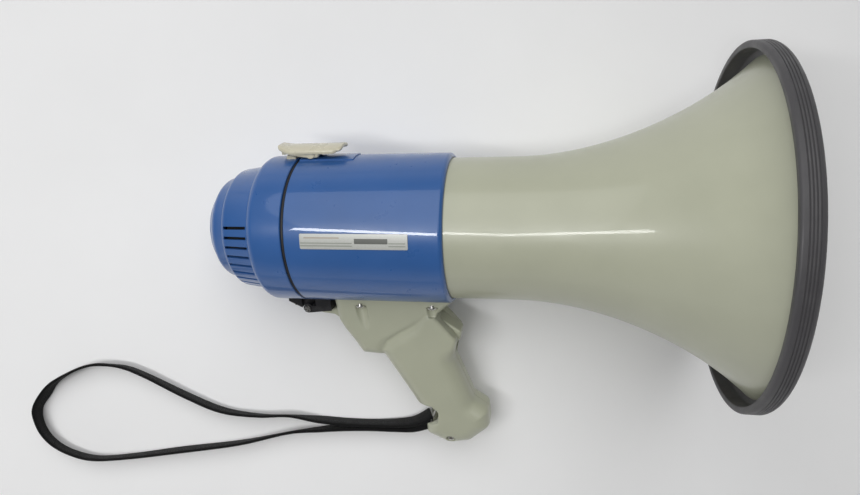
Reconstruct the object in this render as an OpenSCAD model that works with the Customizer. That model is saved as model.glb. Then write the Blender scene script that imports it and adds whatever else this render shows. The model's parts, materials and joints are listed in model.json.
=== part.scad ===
// Handheld megaphone, lying on its side as it is put down on a table.
// Every module is drawn in the horn's own frame: x runs along the horn's axis with 0 at the mouth,
// z points from the handle to the latch, y across. lying() then turns it to rest on the table.

/* [Horn] */
// Outside diameter of the rubber guard round the mouth
guard_d = 230; // [226:1:236]
// Length from the front lip of the body to the mouth
horn_len = 192; // [188:1:200]
// Outside diameter of the horn's straight neck
neck_d = 97.4; // [96:0.2:97.6]
// Wall thickness of the bell
bell_wall = 2.2; // [1.8:0.1:2.6]

/* [Body] */
// Outside diameter of the body tube and of the cap
body_d = 104.4; // [104:0.2:106]
// Length of the body from the cap's seam to its front lip
body_len = 106; // [104:1:110]
// Length of the rear cap from the seam to its rear end
cap_len = 67; // [66:1:70]
// Wall thickness of the body and the cap
wall = 2.5; // [2:0.1:2.5]
// Number of sound slots in the cap
slot_count = 25; // [13:2:25]
// Number of C cells in the ring
cell_count = 8; // [8]

/* [Handle] */
// Thickness of the handle from side to side
handle_t = 34; // [33:1:36]
// Width of the trigger
trigger_w = 14; // [10:1:14]
// Diameter of the volume knob
knob_d = 22; // [18:1:24]

/* [Strap] */
// Width of the webbing
strap_w = 15; // [12:1:18]
// Thickness of the webbing
strap_t = 2; // [1.6:0.1:2.4]

/* [Hidden] */
$fn = 96;

plastic_blue = [0.28, 0.42, 0.64];
plastic_grey = [0.66, 0.67, 0.62];
rubber_dark = [0.2, 0.2, 0.21];
steel = [0.72, 0.72, 0.74];

// Stations along the axis
lip_x = -horn_len;
seam_x = lip_x - body_len;
cap_end_x = seam_x - cap_len;
gasket_t = 2;
running_gap = 0.3;
body_r = body_d / 2;
bore_r = body_r - wall;

// Bell: a straight neck, then a flare that steepens towards the mouth
neck_r = neck_d / 2;
flare_x = -150;
flare_len = 140;
bell_edge_x = -2.5;
bell_steps = 26;
function bell_r(x) =
    let (t = max(0, (x - flare_x) / flare_len))
    neck_r + 47.5 * pow(t, 2) + 3.2 * pow(t, 8);

// Rim guard: a rubber band whose outer skirt stands off the bell
guard_r = guard_d / 2;
guard_w = 12.5;
guard_nose_r = 4;
guard_edge_r = 1.5;
guard_skirt_t = 4.5;
guard_rib_x = [-8.6, -7, -5.4, -3.8, -2.2];

// Driver stack, each station behind the one before
flange_x = lip_x - 12;
plate_x = flange_x - 3;
ring_x = plate_x - 3;
top_plate_x = plate_x - 4;
magnet_x = top_plate_x - 5;
yoke_x = magnet_x - 13;
driver_r = 33;
pole_r = 12.5;
screw_circle_r = 36.5;
flange_bore_r = 30.2;
driver_ring_bore_r = 34;

// Battery stack: a ring of C cells, 26.2 mm by 50 mm
cell_r = 13.1;
cell_len = 50;
cell_circle_r = (cell_r + 0.15) / sin(180 / cell_count);
holder_x = yoke_x - 5;
spring_len = 3.5;
cells_x = holder_x - 2.5 - spring_len;
cover_x = cells_x - cell_len - 1;
contact_r = 3;

// Cap: a large tier, a slotted middle tier and a small end dome
shoulder_r = 6.2;
shoulder_x = seam_x - 21;
tier_x = shoulder_x - 7;
tier_end_x = tier_x - 17;
cap_front_x = seam_x - gasket_t / 2 - running_gap;
tier_front_r = body_r - 6.6;
tier_rear_r = body_r - 13.8;
tier_edge_r = 4.8;
dome_x = cap_end_x + 12;
dome_r = body_r - 21.7;
dome_edge_r = 6.5;
end_r = dome_r - 7.5;
end_edge_r = 8;
slot_w = 2;
slot_pitch = 9;
slot_x = tier_x - 1.2;
slot_len = 17.3;

// Inside the cap
cap_cover_x = cap_front_x - 1;
board_x = cap_cover_x - 10;
board_t = 1.6;
mic_x = cap_end_x + 22;
mic_r = 14;
boot_r = 17.5;

// Hinge under the seam
hinge_x = seam_x - 5;
hinge_z = -(body_r + 6.3);
knuckle_r = 3.6;
hinge_pin_r = 1.5;
pin_clearance = 0.05;
knuckle_half = 8;
hinge_half = 15;
hinge_leaf_len = 18;
hinge_body_screw_x = hinge_x + 12.5;
hinge_cap_screw_x = hinge_x - 11;
hinge_screw_angle = 8;

// Latch over the seam
latch_x = seam_x + 10;
latch_z = body_r + 3.8;
latch_pin_r = 1;
latch_ear_r = 2.2;
latch_pad_t = 0.8;
latch_len = 51;
latch_w = 22;
latch_top_z = body_r + 9.8;
crown_r = 24;
crown_t = 2.6;
keeper_x = seam_x - 9.5;
keeper_top_z = body_r + 2.2;

// Handle: corners as [x, z, radius], then the layers of each half as [y, inset]
half_t = handle_t / 2;
handle_corners = [
    [-285, -34, 1], [-281, -68, 5], [-266.5, -97, 9], [-246.5, -98.5, 9], [-229, -134, 20],
    [-221.5, -150, 8], [-221, -166, 5], [-203, -175, 12], [-186, -171.5, 10], [-171, -158, 6],
    [-172, -143.5, 5], [-183, -136, 6], [-196, -101, 8], [-192.5, -81, 3], [-206.5, -64, 2],
    [-193, -50.5, 2], [-192.5, -34, 1]
];
handle_layers = [
    [0.02, 0], [half_t - 10, 0], [half_t - 5.5, 1.2], [half_t - 2.5, 3.4], [half_t, 8]
];
cavity_t = 12;
cavity = [
    [-274, -60], [-222, -60], [-220, -96], [-204, -100], [-192, -138], [-216, -146],
    [-237, -104], [-240, -93], [-263, -91]
];
mount_screw_x = [-262, -208.8];
mount_screw_angle = 16;
mount_screw_seat_r = body_r + 4.6;
mount_screw_r = 2;
mount_head_r = 3.4;
pocket_r = 4.2;
grip_screw_x = -201;
grip_screw_z = -167.5;
bar_x = -216;
bar_z = -159;
bar_r = 1.8;
strap_slot_half = 9.2;

// Trigger pivots at its top rear corner
trigger_x = -210;
trigger_z = -70.5;
trigger_pin_r = 1.5;
trigger_corners = [
    [-213.5, -67.4, 1.5], [-206, -67.2, 2], [-190, -78, 2.5], [-191, -84, 2.5], [-195, -89, 2.5],
    [-206, -90, 2], [-214, -79, 2]
];
trigger_slot = [[-224, -66], [-180, -66], [-180, -96], [-224, -96]];
switch_x = -221;
switch_z = -81;

// Volume knob on the side of the handle that is away from the name plate
knob_x = -250;
knob_z = -78;
knob_r = knob_d / 2;
knob_y = half_t + 0.4;
knob_h = 9.5;
knob_flutes = 20;
shaft_r = 3;

// Lying pose: the guard, the cap's shoulder and the heel of the grip touch the table.
// The tilt is the common tangent of the guard's rear edge and the cap's shoulder.
guard_c_r = guard_r - guard_edge_r;
guard_c_x = guard_edge_r - guard_w;
shoulder_c_r = body_r - shoulder_r;
touch_dx = guard_c_x - shoulder_x;
touch_dr = guard_c_r - shoulder_c_r;
tilt = atan2(touch_dr, touch_dx)
    + asin((guard_edge_r - shoulder_r) / norm([touch_dx, touch_dr]));
mouth_h = guard_c_r * cos(tilt) - guard_c_x * sin(tilt) + guard_edge_r;
// The roll is the smallest that brings a point of the grip's heel down to the table
heel_z = -140;
function touching_roll(p) =
    asin((mouth_h + p[0] * sin(tilt)) / cos(tilt) / norm([p[1], p[2]])) - atan2(p[1], -p[2]);
roll = min([for (ring = handle_rings(), p = ring) if (p[2] < heel_z) touching_roll(p)]);
// Place of the mouth's centre when the middle of the overall box is at x = 0, y = 0
mouth_x = 170.1;
mouth_y = 25.3;

// Strap route from the grip's bar round the loop and back, as [x, y, z, lean]. x and y count from
// below the mouth's centre, z from the table, and the lean is the webbing's top edge to its left.
strap_route = [
    [-203, -145, 16, 20], [-216, -152.5, 12.8, 15], [-232, -155, 10, 9], [-252, -155.7, 8.3, 5],
    [-272, -155.2, 7.7, 5], [-293, -153.5, 7.7, 3], [-317, -151, 7.7, -13],
    [-342, -151, 7.7, -9], [-371.5, -147, 7.7, -3], [-400.5, -135.5, 7.7, -4],
    [-431, -121, 7.7, -8], [-450, -113.5, 7.7, -9], [-466, -111.5, 7.7, -10],
    [-479, -112, 7.7, -4], [-493.5, -117, 7.7, 4], [-508, -126, 7.7, 2], [-516, -137, 7.7, -6],
    [-521, -146.5, 7.7, 2], [-520.5, -155.5, 7.7, 10], [-515.5, -166.5, 7.7, 13],
    [-506, -176, 7.7, 13], [-492, -183, 7.7, 11], [-473, -187, 7.7, 7], [-445, -185, 7.7, 4],
    [-405, -179.5, 7.7, 0], [-356.5, -173, 7.7, 4], [-317, -164.5, 7.7, 12],
    [-293, -161.5, 7.7, 3], [-272, -159.5, 7.7, -4], [-252, -159, 8.3, -4],
    [-232, -158.7, 9.6, -8], [-216, -157.2, 12.2, -14], [-203, -152.5, 14.5, -20]
];
strap_steps = 2;
strap_edge = 0.6;

function handle_rings() =
    [for (layer = handle_layers)
        [for (p = rounded(inset(handle_corners, layer[1]))) [p[0], layer[0], p[1]]]];

function arc(centre, r, from, to, n) =
    [for (i = [0:n]) let (a = from + (to - from) * i / n) centre + r * [cos(a), sin(a)]];

function unit(v) = v / norm(v);

function reversed(list) = [for (i = [len(list) - 1:-1:0]) list[i]];

// Moves each side of a counter-clockwise outline inwards by d
function inset(corners, d) =
    let (n = len(corners))
    [for (i = [0:n - 1])
        let (p = [corners[i][0], corners[i][1]])
        let (a = unit(p - [for (k = [0:1]) corners[(i + n - 1) % n][k]]))
        let (b = unit([for (k = [0:1]) corners[(i + 1) % n][k]] - p))
        let (na = [-a[1], a[0]], nb = [-b[1], b[0]])
        let (q = p + d * (na + nb) / (1 + na * nb))
        [q[0], q[1], corners[i][2]]];

// Rounds each corner [x, y, radius] with an arc of n sides
function rounded(corners, n = 4) =
    let (m = len(corners))
    [for (i = [0:m - 1])
        let (p = [corners[i][0], corners[i][1]], r = corners[i][2])
        let (u = unit([for (k = [0:1]) corners[(i + m - 1) % m][k]] - p))
        let (v = unit([for (k = [0:1]) corners[(i + 1) % m][k]] - p))
        let (half = acos(u * v) / 2)
        let (centre = p + unit(u + v) * r / sin(half))
        let (s = p + u * r / tan(half))
        let (e = p + v * r / tan(half))
        let (a0 = atan2(s[1] - centre[1], s[0] - centre[0]))
        let (a1 = atan2(e[1] - centre[1], e[0] - centre[0]))
        let (turn = (a1 - a0 + 540) % 360 - 180)
        for (k = [0:n]) let (a = a0 + turn * k / n) centre + r * [cos(a), sin(a)]];

// A smooth curve through every point of a route
function spline(route, steps) =
    let (last = len(route) - 1)
    concat(
        [for (i = [0:last - 1], k = [0:steps - 1])
            let (a = route[max(i - 1, 0)], b = route[i])
            let (c = route[i + 1], d = route[min(i + 2, last)])
            let (t = k / steps)
            b + (c - a) * t / 2 + (2 * a - 5 * b + 4 * c - d) * pow(t, 2) / 2
                + (3 * b - a - 3 * c + d) * pow(t, 3) / 2],
        [route[last]]
    );

// Fills a ring of n points with a ladder of faces between its two sides
function ladder(n) =
    [for (i = [0:floor((n - 1) / 2) - 1])
        i + 1 == n - 2 - i ? [i, i + 1, n - 1 - i] : [i, i + 1, n - 2 - i, n - 1 - i]];

// Joins rings of equal length into one closed solid
module loft(rings) {
    m = len(rings);
    n = len(rings[0]);
    polyhedron(
        points = [for (ring = rings) each ring],
        faces = concat(
            [for (face = ladder(n)) reversed(face)],
            [for (j = [0:m - 2], i = [0:n - 1]) let (a = j * n + i, b = j * n + (i + 1) % n)
                each [[a, b, b + n], [a, b + n, a + n]]],
            [for (face = ladder(n)) [for (i = face) (m - 1) * n + i]]
        )
    );
}

// Turns a profile of [radius, x] points round the axis
module lathe() rotate([0, 90, 0]) rotate_extrude() children();

// A ring or disc between two stations on the axis
module ring(x0, x1, outer, inner = 0) {
    translate([min(x0, x1), 0, 0]) rotate([0, 90, 0]) difference() {
        cylinder(h = abs(x1 - x0), r = outer);
        if (inner > 0) translate([0, 0, -1]) cylinder(h = abs(x1 - x0) + 2, r = inner);
    }
}

// A cylinder across the horn, along y
module across(x, z, r, y0, y1) {
    translate([x, y1, z]) rotate([90, 0, 0]) cylinder(h = y1 - y0, r = r);
}

// A cylinder along x, off the axis at y and z
module along(x0, x1, r, y = 0, z = 0) {
    translate([min(x0, x1), y, z]) rotate([0, 90, 0]) cylinder(h = abs(x1 - x0), r = r);
}

// An outline in x and z, as thick as y0 to y1
module slab(outline, y0, y1) {
    translate([0, y1, 0]) rotate([90, 0, 0]) linear_extrude(height = y1 - y0) polygon(outline);
}

module round_the_axis(count, start = 0) {
    for (i = [0:count - 1]) rotate([start + 360 * i / count, 0, 0]) children();
}

module lying() {
    translate([mouth_x, mouth_y, mouth_h]) rotate([roll - 90, -tilt, 0]) children();
}

module horn_bell() {
    flare = [for (i = [0:bell_steps])
        let (x = flare_x + (bell_edge_x - flare_x) * i / bell_steps) [bell_r(x), x]];
    inner = [for (i = [bell_steps:-1:0]) [flare[i][0] - bell_wall, flare[i][1]]];
    color(plastic_grey) difference() {
        lathe() polygon(concat(
            [[flange_bore_r, flange_x], [neck_r, flange_x]],
            flare,
            inner,
            [[neck_r - bell_wall, flange_x + 3], [flange_bore_r, flange_x + 3]]
        ));
        round_the_axis(4, 45) along(flange_x - 1, flange_x + 4, 2.1, 0, screw_circle_r);
    }
}

module bell_rim_guard() {
    inner_r = bell_r(bell_edge_x) - 3;
    color(rubber_dark) difference() {
        lathe() polygon(concat(
            arc([guard_c_r, guard_c_x], guard_edge_r, -90, 0, 4),
            arc([guard_r - guard_nose_r, -guard_nose_r], guard_nose_r, 0, 90, 6),
            [[inner_r + 1.5, 0], [inner_r, -1.5], [inner_r, bell_edge_x]],
            [[guard_r - guard_skirt_t, bell_edge_x], [guard_r - guard_skirt_t, -guard_w]]
        ));
        for (x = guard_rib_x) ring(x - 0.3, x + 0.3, guard_r + 1, guard_r - 0.5);
    }
}

module tone_arm() {
    color(plastic_grey) lathe() polygon([
        [10, flange_x], [30, flange_x], [30, flange_x + 3], [14, flange_x + 6],
        [16, -140], [22, -84], [20, -84], [14, -140], [10, flange_x + 6]
    ]);
}

module reflector_cup() {
    cup_r = 42;
    dome_x0 = -52;
    color(plastic_grey) lathe() polygon(concat(
        [[0, dome_x0 + 14], [0, dome_x0 + 12]],
        [for (i = [1:6]) [cup_r * i / 7, dome_x0 + 12 - 12 * pow(i / 7, 2)]],
        [[cup_r - 2, dome_x0 - 4], [33, -128], [35, -128], [cup_r, dome_x0 - 4]],
        [for (i = [6:-1:1]) [(cup_r + 1) * i / 7, dome_x0 + 14 - 12 * pow(i / 7, 2)]]
    ));
}

module reflector_stays() {
    color(plastic_grey) round_the_axis(3, 30)
        slab([[-124, 18], [-90, 21.5], [-90, 36], [-124, 31.5]], -1, 1);
}

module driver_plate() {
    color(steel) difference() {
        ring(plate_x, flange_x, 44, 10);
        round_the_axis(4, 45) along(plate_x - 1, flange_x + 1, 2.1, 0, screw_circle_r);
    }
}

module driver_spacer() {
    color("dimgray") ring(top_plate_x, plate_x, driver_r, 28);
}

module diaphragm() {
    color("peru") lathe() polygon(concat(
        [[28, plate_x], [28, plate_x - 0.6], [20, plate_x - 0.6], [13.3, plate_x - 1.6]],
        [[8, plate_x - 1], [0, plate_x - 0.8], [0, plate_x - 0.4], [8, plate_x - 0.6]],
        [[13.3, plate_x - 1], [20, plate_x]]
    ));
}

module voice_coil() {
    color("chocolate") ring(plate_x - 8, plate_x - 1.6, 13.3, 12.8);
}

module top_plate() {
    color(steel) ring(magnet_x, top_plate_x, driver_r, 13.6);
}

module magnet() {
    color([0.25, 0.25, 0.27]) ring(yoke_x, magnet_x, driver_r + 3, 18);
}

module pole_yoke() {
    color(steel) {
        ring(yoke_x - 4, yoke_x, driver_r);
        ring(yoke_x, top_plate_x + 0.5, pole_r);
    }
}

module driver_screws() {
    color(steel) round_the_axis(4, 45) {
        along(ring_x - 3, flange_x + 3, 2, 0, screw_circle_r);
        along(flange_x + 3, flange_x + 5.5, 3.6, 0, screw_circle_r);
    }
}

module body_housing() {
    back_x = seam_x + gasket_t / 2;
    color(plastic_blue) difference() {
        lathe() polygon(concat(
            [[bore_r, back_x], [body_r, back_x]],
            arc([body_r - 3, lip_x - 3], 3, 0, 90, 6),
            [[neck_r + 0.2, lip_x], [neck_r + 0.2, lip_x - 4], [bore_r, lip_x - 5]],
            [[bore_r, plate_x], [driver_ring_bore_r, plate_x], [driver_ring_bore_r, ring_x]],
            [[bore_r, ring_x]]
        ));
        mount_screw_axes() cylinder(h = 16, r = mount_screw_r + 0.1, center = true);
        round_the_axis(4, 45) along(ring_x - 1, plate_x + 1, 2.1, 0, screw_circle_r);
        hinge_screw_axes(hinge_body_screw_x) cylinder(h = 16, r = 1.3, center = true);
    }
}

// Places children at the seat of each handle screw, +z pointing outwards
module mount_screw_axes() {
    for (x = mount_screw_x, side = [-1, 1])
        translate([x, 0, 0]) rotate([180 + side * mount_screw_angle, 0, 0])
            translate([0, 0, mount_screw_seat_r]) children();
}

// Places children on the body's surface at each hinge screw, +z pointing outwards
module hinge_screw_axes(x) {
    for (side = [-1, 1])
        translate([x, 0, 0]) rotate([180 + side * hinge_screw_angle, 0, 0])
            translate([0, 0, body_r]) children();
}

module seam_gasket() {
    color("black") ring(seam_x - gasket_t / 2, seam_x + gasket_t / 2, body_r - 0.6, bore_r - 1);
}

module battery_holder() {
    color("dimgray") {
        ring(holder_x - 2.5, holder_x, bore_r - 0.4, 6);
        ring(cover_x, holder_x - 2.5, 20, 17.5);
    }
}

module battery_cells() {
    color("darkgoldenrod") round_the_axis(cell_count) {
        along(cells_x - cell_len + 1, cells_x, cell_r, 0, cell_circle_r);
        along(cells_x - cell_len, cells_x - cell_len + 1, contact_r, 0, cell_circle_r);
    }
}

module battery_springs() {
    color("silver") round_the_axis(cell_count)
        for (i = [0:3])
            translate([cells_x + 0.5 + 0.85 * i, 0, cell_circle_r]) rotate([0, 90, 0])
                rotate_extrude() translate([6 - i, 0]) circle(r = 0.42, $fn = 16);
}

module battery_contacts() {
    color("gold") round_the_axis(cell_count)
        along(cells_x - cell_len - 1, cells_x - cell_len, contact_r + 2, 0, cell_circle_r);
}

module battery_cover() {
    color("darkolivegreen") ring(cover_x - 2.5, cover_x, bore_r - 0.4);
}

// The cap's profile as [radius, x] from its front edge to the axis, moved inwards by d
function cap_outline(d) = concat(
    [[body_r - d, cap_front_x]],
    arc([shoulder_c_r, shoulder_x], shoulder_r - d, 0, -85, 6),
    [[tier_front_r - d, tier_x]],
    arc([tier_rear_r, tier_end_x], tier_edge_r - d, -10, -80, 5),
    arc([dome_r, dome_x], dome_edge_r - d, -5, -65, 5),
    arc([end_r, cap_end_x + end_edge_r], end_edge_r - d, -35, -90, 5),
    [[0, cap_end_x + d]]
);

module rear_cap() {
    color(plastic_blue) difference() {
        union() {
            lathe() polygon(concat(cap_outline(0), reversed(cap_outline(wall))));
            ring(cap_end_x + wall - 0.5, mic_x - 14, boot_r, boot_r - 4);
        }
        for (i = [0:slot_count - 1])
            rotate([180 + slot_pitch * (i - (slot_count - 1) / 2), 0, 0])
                translate([slot_x - slot_len, -slot_w / 2, 36]) cube([slot_len, slot_w, 14]);
        for (row = [[1, 0], [6, 5], [12, 10]], i = [0:row[0] - 1])
            rotate([360 * i / row[0], 0, 0])
                along(cap_end_x - 1, cap_end_x + wall + 1, 1.1, 0, row[1]);
        hinge_screw_axes(hinge_cap_screw_x) cylinder(h = 16, r = 1.3, center = true);
    }
}

module cap_inner_cover() {
    color("dimgray") ring(cap_cover_x - 2, cap_cover_x, bore_r - 0.3);
}

module contact_blades() {
    rise = cover_x - 2.5 - 0.5;
    color("gold") for (side = [-1, 1])
        slab([
            [cap_cover_x, side * 14], [cap_cover_x, side * 24], [cap_cover_x + 0.6, side * 24],
            [rise, side * 18], [rise - 0.7, side * 17], [cap_cover_x + 0.6, side * 14]
        ], -3, 3);
}

module amplifier_board() {
    color("darkgreen") ring(board_x - board_t, board_x, 44);
}

module board_components() {
    back = board_x - board_t;
    color([0.15, 0.15, 0.17]) {
        for (side = [-1, 1]) along(back - 12, back, 6.5, 24 * side, -8);
        for (i = [0:3]) along(back - 8, back, 3.2, -21 + 14 * i, 25);
        translate([back - 10, -11, -10]) cube([10, 22, 19]);
        translate([back - 4, -14, -32]) cube([4, 28, 12]);
    }
}

module board_posts() {
    color("silver") round_the_axis(3, 60) along(board_x, cap_cover_x - 2, 3, 0, 38);
}

module mic_capsule() {
    color("silver") ring(mic_x - 10, mic_x, mic_r - 0.1);
}

module mic_boot() {
    color("black") ring(mic_x - 14, mic_x + 1, boot_r, mic_r);
}

module mic_screen() {
    color([0.1, 0.1, 0.1]) ring(tier_end_x, tier_x - 1, 40.2, 39.4);
}

module hinge_body_leaf() {
    arm = [
        [hinge_x, hinge_z - knuckle_r], [hinge_x + hinge_leaf_len, hinge_z - 1.5],
        [hinge_x + hinge_leaf_len, hinge_z + 2], [hinge_x, hinge_z + 2]
    ];
    seat = [
        [seam_x + 1.3, hinge_z - 2.6], [hinge_x + hinge_leaf_len, hinge_z - 1.5],
        [hinge_x + hinge_leaf_len, -45], [seam_x + 1.3, -45]
    ];
    color([0.13, 0.13, 0.14]) difference() {
        union() {
            for (side = [0, 1]) mirror([0, side, 0]) {
                across(hinge_x, hinge_z, knuckle_r, knuckle_half + 0.2, hinge_half);
                slab(arm, knuckle_half + 0.2, hinge_half);
            }
            slab(seat, -hinge_half, hinge_half);
        }
        along(seam_x, lip_x, body_r);
        across(hinge_x, hinge_z, hinge_pin_r, -hinge_half - 1, hinge_half + 1);
        hinge_screw_axes(hinge_body_screw_x) hinge_screw(0.05);
    }
}

module hinge_cap_leaf() {
    plate = [
        [hinge_x + 2, hinge_z], [hinge_x + 2, -45], [hinge_x - 16, -45],
        [hinge_x - 16, -body_r - 2.2], [hinge_x - 4, hinge_z - 2]
    ];
    color([0.13, 0.13, 0.14]) difference() {
        union() {
            across(hinge_x, hinge_z, knuckle_r, -knuckle_half + 0.1, knuckle_half - 0.1);
            slab(plate, -knuckle_half + 0.1, knuckle_half - 0.1);
            intersection() {
                slab(plate, -12, 12);
                translate([hinge_x - 17, -13, -70]) cube([11, 26, 30]);
            }
        }
        along(cap_end_x, seam_x, body_r);
        across(hinge_x, hinge_z, hinge_pin_r + pin_clearance, -hinge_half, hinge_half);
        hinge_screw_axes(hinge_cap_screw_x) hinge_screw(0.05);
    }
}

module hinge_pin() {
    color(steel) {
        across(hinge_x, hinge_z, hinge_pin_r, -hinge_half - 0.8, hinge_half + 0.8);
        across(hinge_x, hinge_z, hinge_pin_r + 0.9, -hinge_half - 1.6, -hinge_half - 0.8);
    }
}

// A countersunk screw seen from the surface that it is driven into
module hinge_screw(gap = 0) {
    translate([0, 0, -2.3]) cylinder(h = 6.3, r = 1.25 + gap);
    translate([0, 0, 3]) cylinder(h = 4, r = 2.4 + gap);
}

module hinge_body_screws() {
    color(steel) hinge_screw_axes(hinge_body_screw_x) hinge_screw();
}

module hinge_cap_screws() {
    color(steel) hinge_screw_axes(hinge_cap_screw_x) hinge_screw();
}

module latch_base() {
    color(plastic_blue) difference() {
        union() {
            intersection() {
                ring(seam_x + 1.5, latch_x + 30, body_r + latch_pad_t, body_r);
                translate([seam_x, -9, 0]) cube([50, 18, 70]);
            }
            for (side = [0, 1]) mirror([0, side, 0]) {
                across(latch_x, latch_z, latch_ear_r, 2.4, 4.4);
                slab([
                    [latch_x - 4, body_r - 2], [latch_x + 4, body_r - 2],
                    [latch_x + latch_ear_r, latch_z], [latch_x - latch_ear_r, latch_z]
                ], 2.4, 4.4);
            }
        }
        along(seam_x, lip_x, body_r);
        across(latch_x, latch_z, latch_pin_r, -10, 10);
    }
}

module latch_lever() {
    front = latch_x + 22;
    back = front - latch_len;
    half = latch_w / 2;
    crown_z = latch_top_z - crown_r;
    plan = [
        [back, -7, 5], [back + 9, -half, 12], [front - 5, -half, 4], [front, -half + 4, 3],
        [front, half - 4, 3], [front - 5, half, 4], [back + 9, half, 12], [back, 7, 5]
    ];
    color([0.82, 0.8, 0.73]) difference() {
        union() {
            intersection() {
                translate([0, 0, body_r]) linear_extrude(height = 12) polygon(rounded(plan));
                difference() {
                    along(back - 1, front + 1, crown_r, 0, crown_z);
                    along(back - 2, front + 2, crown_r - crown_t, 0, crown_z);
                }
            }
            for (side = [0, 1]) mirror([0, side, 0]) {
                across(latch_x, latch_z, latch_ear_r + 0.2, 4.8, 7);
                slab([
                    [latch_x - 5, latch_z + 3.6], [latch_x - 2.3, latch_z],
                    [latch_x + 2.3, latch_z], [latch_x + 5, latch_z + 3.6]
                ], 4.8, 7);
            }
            slab([
                [keeper_x - 4, keeper_top_z + 0.5], [keeper_x - 0.8, keeper_top_z + 0.5],
                [keeper_x - 0.8, latch_top_z - 2], [keeper_x - 5, latch_top_z - 2]
            ], -6, 6);
        }
        across(latch_x, latch_z, latch_pin_r + pin_clearance, -10, 10);
    }
}

module latch_pin() {
    color(steel) across(latch_x, latch_z, latch_pin_r, -7.6, 7.6);
}

// A ring of round wire about the y axis
module coil(x, y, z, r, wire_r) {
    translate([x, y, z]) rotate([90, 0, 0]) rotate_extrude()
        translate([r, 0]) circle(r = wire_r, $fn = 16);
}

module latch_spring() {
    color(steel) for (i = [-2:2]) coil(latch_x, 0.85 * i, latch_z, 1.6, 0.42);
}

module latch_keeper() {
    color([0.82, 0.8, 0.73]) difference() {
        slab([
            [keeper_x, body_r - 3], [keeper_x + 6.7, body_r - 3], [keeper_x + 6.7, body_r + 0.8],
            [keeper_x + 3, keeper_top_z], [keeper_x, keeper_top_z]
        ], -5, 5);
        along(cap_end_x, seam_x, body_r);
    }
}

// One half of the bracket and grip, on the +y side
module handle_half() {
    boss = [
        [-296, -62.2], [-296, -65.2], [-286, -66.5], [-279, -71], [-279, -62.2]
    ];
    color(plastic_grey) difference() {
        union() {
            loft(handle_rings());
            slab(boss, 0.02, 8);
        }
        along(cap_end_x, 0, body_r);
        slab(cavity, -1, cavity_t);
        slab(trigger_slot, -1, trigger_w / 2 + 0.4);
        across(trigger_x, trigger_z, trigger_pin_r, -1, trigger_w / 2 + 4);
        mount_screw_axes() {
            cylinder(h = 40, r = pocket_r);
            translate([0, 0, -10]) cylinder(h = 11, r = mount_screw_r + 0.1);
        }
        across(grip_screw_x, grip_screw_z, 1.6, -1, half_t + 1);
        across(grip_screw_x, grip_screw_z, 3.2, cavity_t, half_t + 1);
        slab([
            [-240, -149], [-219, -149], [bar_x + 5, -155], [bar_x + 5, -163], [-219, -168],
            [-240, -168]
        ], -1, strap_slot_half);
        across(bar_x, bar_z, bar_r, -1, 13);
    }
}

module handle_left() {
    color(plastic_grey) difference() {
        handle_half();
        across(knob_x, knob_z, shaft_r + 1, 0, half_t + 1);
    }
}

module handle_right() {
    mirror([0, 1, 0]) handle_half();
}

module handle_screws() {
    color(steel) mount_screw_axes() difference() {
        union() {
            translate([0, 0, -8]) cylinder(h = 8, r = mount_screw_r);
            cylinder(h = 2.4, r = mount_head_r);
        }
        for (turn = [0, 90]) rotate([0, 0, turn])
            translate([-2.2, -0.45, 1.2]) cube([4.4, 0.9, 2]);
    }
}

module grip_screw() {
    color(steel) {
        across(grip_screw_x, grip_screw_z, 1.5, -cavity_t, cavity_t);
        across(grip_screw_x, grip_screw_z, 3, cavity_t, cavity_t + 2);
        across(grip_screw_x, grip_screw_z, 3, -cavity_t - 2, -cavity_t);
    }
}

module trigger() {
    color(plastic_grey) difference() {
        slab(rounded(trigger_corners), -trigger_w / 2, trigger_w / 2);
        across(trigger_x, trigger_z, trigger_pin_r + pin_clearance, -20, 20);
        across(trigger_x, trigger_z, 3.3, -2.6, 2.6);
    }
}

module trigger_pin() {
    color(steel)
        across(trigger_x, trigger_z, trigger_pin_r, -trigger_w / 2 - 4, trigger_w / 2 + 4);
}

module trigger_spring() {
    color(steel) for (i = [-2:2]) coil(trigger_x, 0.95 * i, trigger_z, 2.3, 0.45);
}

module micro_switch() {
    color([0.12, 0.12, 0.13]) {
        translate([switch_x - 12, -3.2, switch_z - 10]) cube([12, 6.4, 20]);
        along(switch_x, switch_x + 5.4, 1.5, 0, switch_z + 1);
    }
}

module volume_knob() {
    color([0.13, 0.13, 0.14]) difference() {
        union() {
            across(knob_x, knob_z, shaft_r, cavity_t, knob_y + 1);
            across(knob_x, knob_z, knob_r, knob_y, knob_y + knob_h);
        }
        for (i = [0:knob_flutes - 1]) let (a = 360 * i / knob_flutes)
            across(knob_x + knob_r * cos(a), knob_z + knob_r * sin(a), 0.9,
                knob_y + 1.5, knob_y + knob_h + 1);
        translate([knob_x - 0.6, knob_y + knob_h - 0.6, knob_z + 3]) cube([1.2, 1, knob_r]);
    }
}

module potentiometer() {
    color("slategray") difference() {
        union() {
            across(knob_x, knob_z, 8, 3, cavity_t - 0.05);
            across(knob_x, knob_z, shaft_r + 0.95, cavity_t - 0.1, half_t - 0.1);
        }
        across(knob_x, knob_z, shaft_r + pin_clearance, cavity_t - 0.2, half_t + 1);
    }
}

module strap_bar() {
    color(steel) across(bar_x, bar_z, bar_r, -13, 13);
}

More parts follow.
